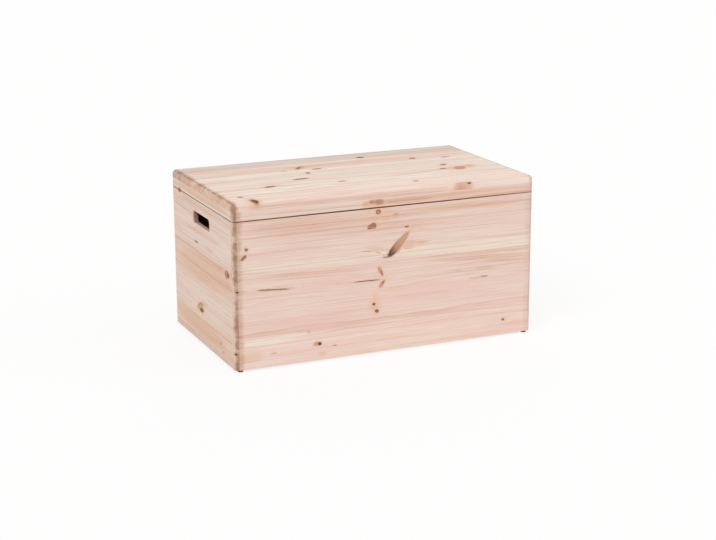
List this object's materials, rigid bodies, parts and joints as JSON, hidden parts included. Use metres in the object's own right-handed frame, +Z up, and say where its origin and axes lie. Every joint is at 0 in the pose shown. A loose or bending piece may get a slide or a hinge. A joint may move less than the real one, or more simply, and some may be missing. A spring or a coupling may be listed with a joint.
{
  "type": "lidded storage box",
  "caption": "Raw pine storage box with rounded corners, hand holes in the sides, small glides and a lid on hinges with a slotted stay.",
  "frame": {"origin": "on the floor, under the middle of the wooden body", "axes": "+X to the right along the front, +Y from the front to the hinged back, +Z up"},
  "size_m": [0.8, 0.4658, 0.41],
  "materials": {
    "pine_front": "raw planed pine, pinkish cream with brown knots",
    "pine_side": "raw planed pine, beige with tan heartwood bands",
    "pine_top": "raw planed pine, cream with fine straight grain",
    "plywood": "raw plywood, sanded",
    "glide_plastic": "dark brown moulded plastic",
    "plated_steel": "pale yellow zinc plating, satin",
    "bright_steel": "bright steel, satin"
  },
  "bodies": {
    "box": {"front_panel": "pine_front", "back_panel": "pine_front", "left_panel": "pine_side", "right_panel": "pine_side", "bottom_panel": "plywood", "foot_front_left": "glide_plastic", "foot_front_right": "glide_plastic", "foot_back_left": "glide_plastic", "foot_back_right": "glide_plastic", "foot_nails": "bright_steel", "hinge_left_body_leaf": "plated_steel", "hinge_left_pin": "bright_steel", "hinge_right_body_leaf": "plated_steel", "hinge_right_pin": "bright_steel", "hinge_body_screws": "plated_steel", "stay_stud": "bright_steel"},
    "lid": {"lid_top": "pine_top", "lid_front_rail": "pine_front", "lid_back_rail": "pine_front", "lid_left_rail": "pine_side", "lid_right_rail": "pine_side", "hinge_left_lid_leaf": "plated_steel", "hinge_right_lid_leaf": "plated_steel", "hinge_lid_screws": "plated_steel", "stay_plate": "plated_steel", "stay_plate_screws": "plated_steel", "stay_rivet": "bright_steel"},
    "stay": {"stay_arm": "plated_steel"}
  },
  "joints": [
    {"name": "lid_hinge", "type": "hinge", "parent": "box", "child": "lid", "pos_m": [0, 0.23305, 0.3685], "axis": [-1, 0, 0], "range_deg": [0, 95]},
    {"name": "stay_pivot", "type": "hinge", "parent": "lid", "child": "stay", "pos_m": [0.3832, 0.1037, 0.3815], "axis": [1, 0, 0], "range_deg": [0, 47.5]}
  ],
  "couplings": [
    {"joint": "stay_pivot", "follows": "lid_hinge", "ratio": 0.5}
  ]
}
